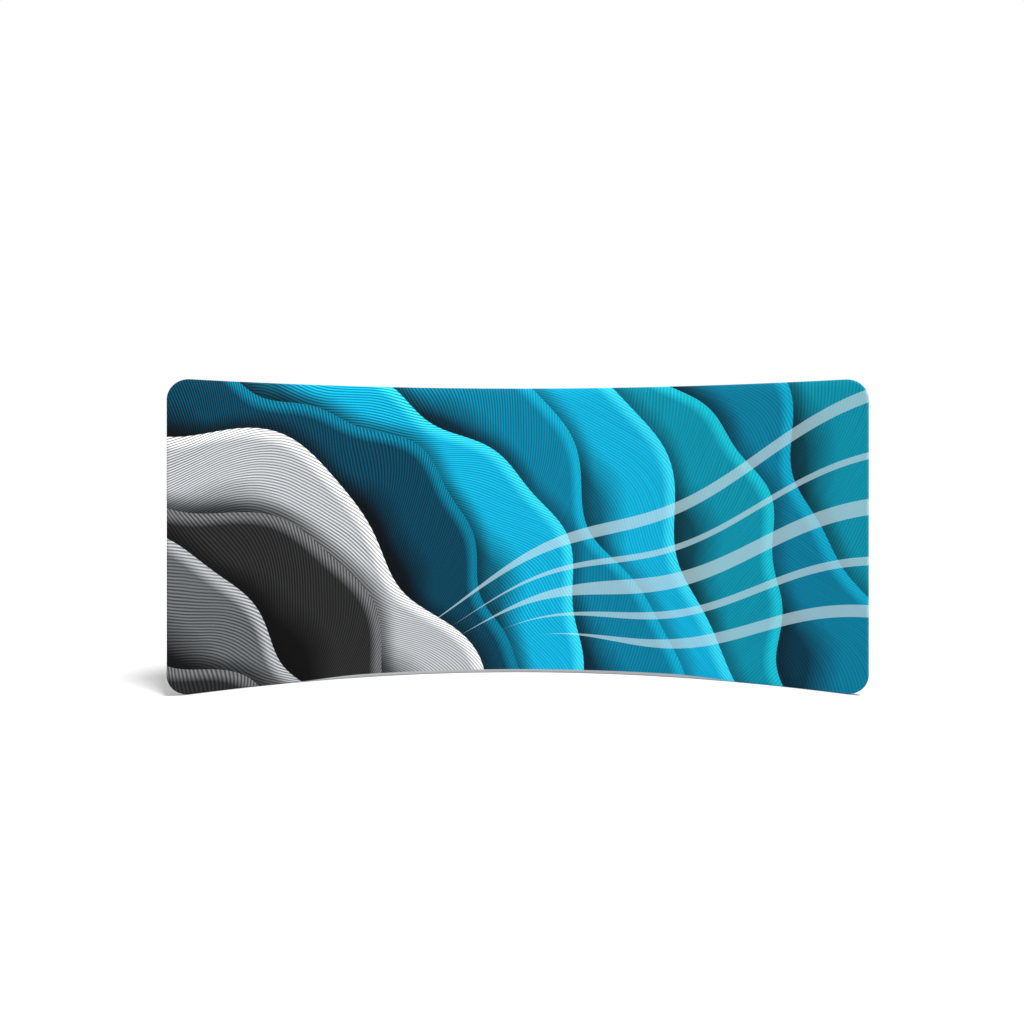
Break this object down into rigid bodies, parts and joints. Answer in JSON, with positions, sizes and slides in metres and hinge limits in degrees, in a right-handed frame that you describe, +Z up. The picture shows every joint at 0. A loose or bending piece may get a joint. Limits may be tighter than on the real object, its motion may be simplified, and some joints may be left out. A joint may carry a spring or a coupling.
{
  "type": "curved display wall",
  "caption": "Free-standing curved display wall: a stretch-fabric cover, zipped along the foot of its back, over a plug-together tube frame with rounded corners and sprung lock buttons.",
  "frame": {"origin": "on the floor, under the middle of the wall's overall width and depth", "axes": "+Z up; +X along the wall's width; the printed, hollow side of the bow looks towards -Y"},
  "size_m": [5.07, 0.7446, 2.3],
  "materials": {
    "printed_fabric": "dye-printed stretch knit, matt, in greys and blue-greens",
    "plain_fabric": "unprinted pale grey stretch knit",
    "zip_tape": "woven tape",
    "zip_coil": "moulded nylon",
    "zip_metal": "plated die-casting",
    "tube": "clear anodised, satin",
    "spigot": "mill finish",
    "button": "polished steel",
    "hardware": "bright steel"
  },
  "bodies": {
    "frame": {"front_graphic": "printed_fabric", "back_panel": "plain_fabric", "zip_tape_upper": "zip_tape", "zip_tape_lower": "zip_tape", "zip_chain": "zip_coil", "zip_stops": "zip_metal", "bottom_rail_tube_1": "tube", "bottom_rail_tube_2": "tube", "bottom_rail_tube_3": "tube", "bottom_rail_tube_4": "tube", "top_rail_tube_1": "tube", "top_rail_tube_2": "tube", "top_rail_tube_3": "tube", "top_rail_tube_4": "tube", "left_bottom_elbow": "tube", "left_top_elbow": "tube", "right_bottom_elbow": "tube", "right_top_elbow": "tube", "left_post_tube_1": "tube", "left_post_tube_2": "tube", "right_post_tube_1": "tube", "right_post_tube_2": "tube", "left_upright_tube_1": "tube", "left_upright_tube_2": "tube", "right_upright_tube_1": "tube", "right_upright_tube_2": "tube", "bottom_rail_spigots": "spigot", "top_rail_spigots": "spigot", "post_spigots": "spigot", "upright_spigots": "spigot", "spigot_rivets": "hardware", "button_springs": "hardware"},
    "bottom_rail_button_1": {"bottom_rail_button_1": "button"},
    "bottom_rail_button_2": {"bottom_rail_button_2": "button"},
    "bottom_rail_button_3": {"bottom_rail_button_3": "button"},
    "bottom_rail_button_4": {"bottom_rail_button_4": "button"},
    "bottom_rail_button_5": {"bottom_rail_button_5": "button"},
    "top_rail_button_1": {"top_rail_button_1": "button"},
    "top_rail_button_2": {"top_rail_button_2": "button"},
    "top_rail_button_3": {"top_rail_button_3": "button"},
    "top_rail_button_4": {"top_rail_button_4": "button"},
    "top_rail_button_5": {"top_rail_button_5": "button"},
    "left_post_button_1": {"left_post_button_1": "button"},
    "left_post_button_2": {"left_post_button_2": "button"},
    "left_post_button_3": {"left_post_button_3": "button"},
    "right_post_button_1": {"right_post_button_1": "button"},
    "right_post_button_2": {"right_post_button_2": "button"},
    "right_post_button_3": {"right_post_button_3": "button"},
    "left_upright_button_1": {"left_upright_button_1": "button"},
    "left_upright_button_2": {"left_upright_button_2": "button"},
    "left_upright_button_3": {"left_upright_button_3": "button"},
    "right_upright_button_1": {"right_upright_button_1": "button"},
    "right_upright_button_2": {"right_upright_button_2": "button"},
    "right_upright_button_3": {"right_upright_button_3": "button"},
    "zip_slider": {"zip_slider": "zip_metal"},
    "zip_pull": {"zip_pull": "zip_metal"}
  },
  "joints": [
    {"name": "bottom_rail_button_1_press", "type": "slide", "parent": "frame", "child": "bottom_rail_button_1", "axis": [0, 0, -1], "range_m": [0, 0.005], "stiffness_N_per_m": 2000, "springref_m": -0.003, "deforming": ["button_springs"]},
    {"name": "bottom_rail_button_2_press", "type": "slide", "parent": "frame", "child": "bottom_rail_button_2", "axis": [0, 0, -1], "range_m": [0, 0.005], "stiffness_N_per_m": 2000, "springref_m": -0.003, "deforming": ["button_springs"]},
    {"name": "bottom_rail_button_3_press", "type": "slide", "parent": "frame", "child": "bottom_rail_button_3", "axis": [0, 0, -1], "range_m": [0, 0.005], "stiffness_N_per_m": 2000, "springref_m": -0.003, "deforming": ["button_springs"]},
    {"name": "bottom_rail_button_4_press", "type": "slide", "parent": "frame", "child": "bottom_rail_button_4", "axis": [0, 0, -1], "range_m": [0, 0.005], "stiffness_N_per_m": 2000, "springref_m": -0.003, "deforming": ["button_springs"]},
    {"name": "bottom_rail_button_5_press", "type": "slide", "parent": "frame", "child": "bottom_rail_button_5", "axis": [0, 0, -1], "range_m": [0, 0.005], "stiffness_N_per_m": 2000, "springref_m": -0.003, "deforming": ["button_springs"]},
    {"name": "top_rail_button_1_press", "type": "slide", "parent": "frame", "child": "top_rail_button_1", "axis": [0, 0, 1], "range_m": [0, 0.005], "stiffness_N_per_m": 2000, "springref_m": -0.003, "deforming": ["button_springs"]},
    {"name": "top_rail_button_2_press", "type": "slide", "parent": "frame", "child": "top_rail_button_2", "axis": [0, 0, 1], "range_m": [0, 0.005], "stiffness_N_per_m": 2000, "springref_m": -0.003, "deforming": ["button_springs"]},
    {"name": "top_rail_button_3_press", "type": "slide", "parent": "frame", "child": "top_rail_button_3", "axis": [0, 0, 1], "range_m": [0, 0.005], "stiffness_N_per_m": 2000, "springref_m": -0.003, "deforming": ["button_springs"]},
    {"name": "top_rail_button_4_press", "type": "slide", "parent": "frame", "child": "top_rail_button_4", "axis": [0, 0, 1], "range_m": [0, 0.005], "stiffness_N_per_m": 2000, "springref_m": -0.003, "deforming": ["button_springs"]},
    {"name": "top_rail_button_5_press", "type": "slide", "parent": "frame", "child": "top_rail_button_5", "axis": [0, 0, 1], "range_m": [0, 0.005], "stiffness_N_per_m": 2000, "springref_m": -0.003, "deforming": ["button_springs"]},
    {"name": "left_post_button_1_press", "type": "slide", "parent": "frame", "child": "left_post_button_1", "axis": [-0.8738, -0.4863, 0], "range_m": [0, 0.005], "stiffness_N_per_m": 2000, "springref_m": -0.003, "deforming": ["button_springs"]},
    {"name": "left_post_button_2_press", "type": "slide", "parent": "frame", "child": "left_post_button_2", "axis": [-0.8738, -0.4863, 0], "range_m": [0, 0.005], "stiffness_N_per_m": 2000, "springref_m": -0.003, "deforming": ["button_springs"]},
    {"name": "left_post_button_3_press", "type": "slide", "parent": "frame", "child": "left_post_button_3", "axis": [-0.8738, -0.4863, 0], "range_m": [0, 0.005], "stiffness_N_per_m": 2000, "springref_m": -0.003, "deforming": ["button_springs"]},
    {"name": "right_post_button_1_press", "type": "slide", "parent": "frame", "child": "right_post_button_1", "axis": [0.8738, -0.4863, 0], "range_m": [0, 0.005], "stiffness_N_per_m": 2000, "springref_m": -0.003, "deforming": ["button_springs"]},
    {"name": "right_post_button_2_press", "type": "slide", "parent": "frame", "child": "right_post_button_2", "axis": [0.8738, -0.4863, 0], "range_m": [0, 0.005], "stiffness_N_per_m": 2000, "springref_m": -0.003, "deforming": ["button_springs"]},
    {"name": "right_post_button_3_press", "type": "slide", "parent": "frame", "child": "right_post_button_3", "axis": [0.8738, -0.4863, 0], "range_m": [0, 0.005], "stiffness_N_per_m": 2000, "springref_m": -0.003, "deforming": ["button_springs"]},
    {"name": "left_upright_button_1_press", "type": "slide", "parent": "frame", "child": "left_upright_button_1", "axis": [-0.9861, -0.1659, 0], "range_m": [0, 0.005], "stiffness_N_per_m": 2000, "springref_m": -0.003, "deforming": ["button_springs"]},
    {"name": "left_upright_button_2_press", "type": "slide", "parent": "frame", "child": "left_upright_button_2", "axis": [-0.9861, -0.1659, 0], "range_m": [0, 0.005], "stiffness_N_per_m": 2000, "springref_m": -0.003, "deforming": ["button_springs"]},
    {"name": "left_upright_button_3_press", "type": "slide", "parent": "frame", "child": "left_upright_button_3", "axis": [-0.9861, -0.1659, 0], "range_m": [0, 0.005], "stiffness_N_per_m": 2000, "springref_m": -0.003, "deforming": ["button_springs"]},
    {"name": "right_upright_button_1_press", "type": "slide", "parent": "frame", "child": "right_upright_button_1", "axis": [0.9861, -0.1659, 0], "range_m": [0, 0.005], "stiffness_N_per_m": 2000, "springref_m": -0.003, "deforming": ["button_springs"]},
    {"name": "right_upright_button_2_press", "type": "slide", "parent": "frame", "child": "right_upright_button_2", "axis": [0.9861, -0.1659, 0], "range_m": [0, 0.005], "stiffness_N_per_m": 2000, "springref_m": -0.003, "deforming": ["button_springs"]},
    {"name": "right_upright_button_3_press", "type": "slide", "parent": "frame", "child": "right_upright_button_3", "axis": [0.9861, -0.1659, 0], "range_m": [0, 0.005], "stiffness_N_per_m": 2000, "springref_m": -0.003, "deforming": ["button_springs"]},
    {"name": "zip_travel", "type": "hinge", "parent": "frame", "child": "zip_slider", "pos_m": [0, -4.44725, 0.062], "axis": [0, 0, -1], "range_deg": [0, 56.47]},
    {"name": "pull_flip", "type": "hinge", "parent": "zip_slider", "child": "zip_pull", "pos_m": [-2.28214, -0.19705, 0.062], "axis": [0, 0, 1], "range_deg": [0, 180]}
  ]
}
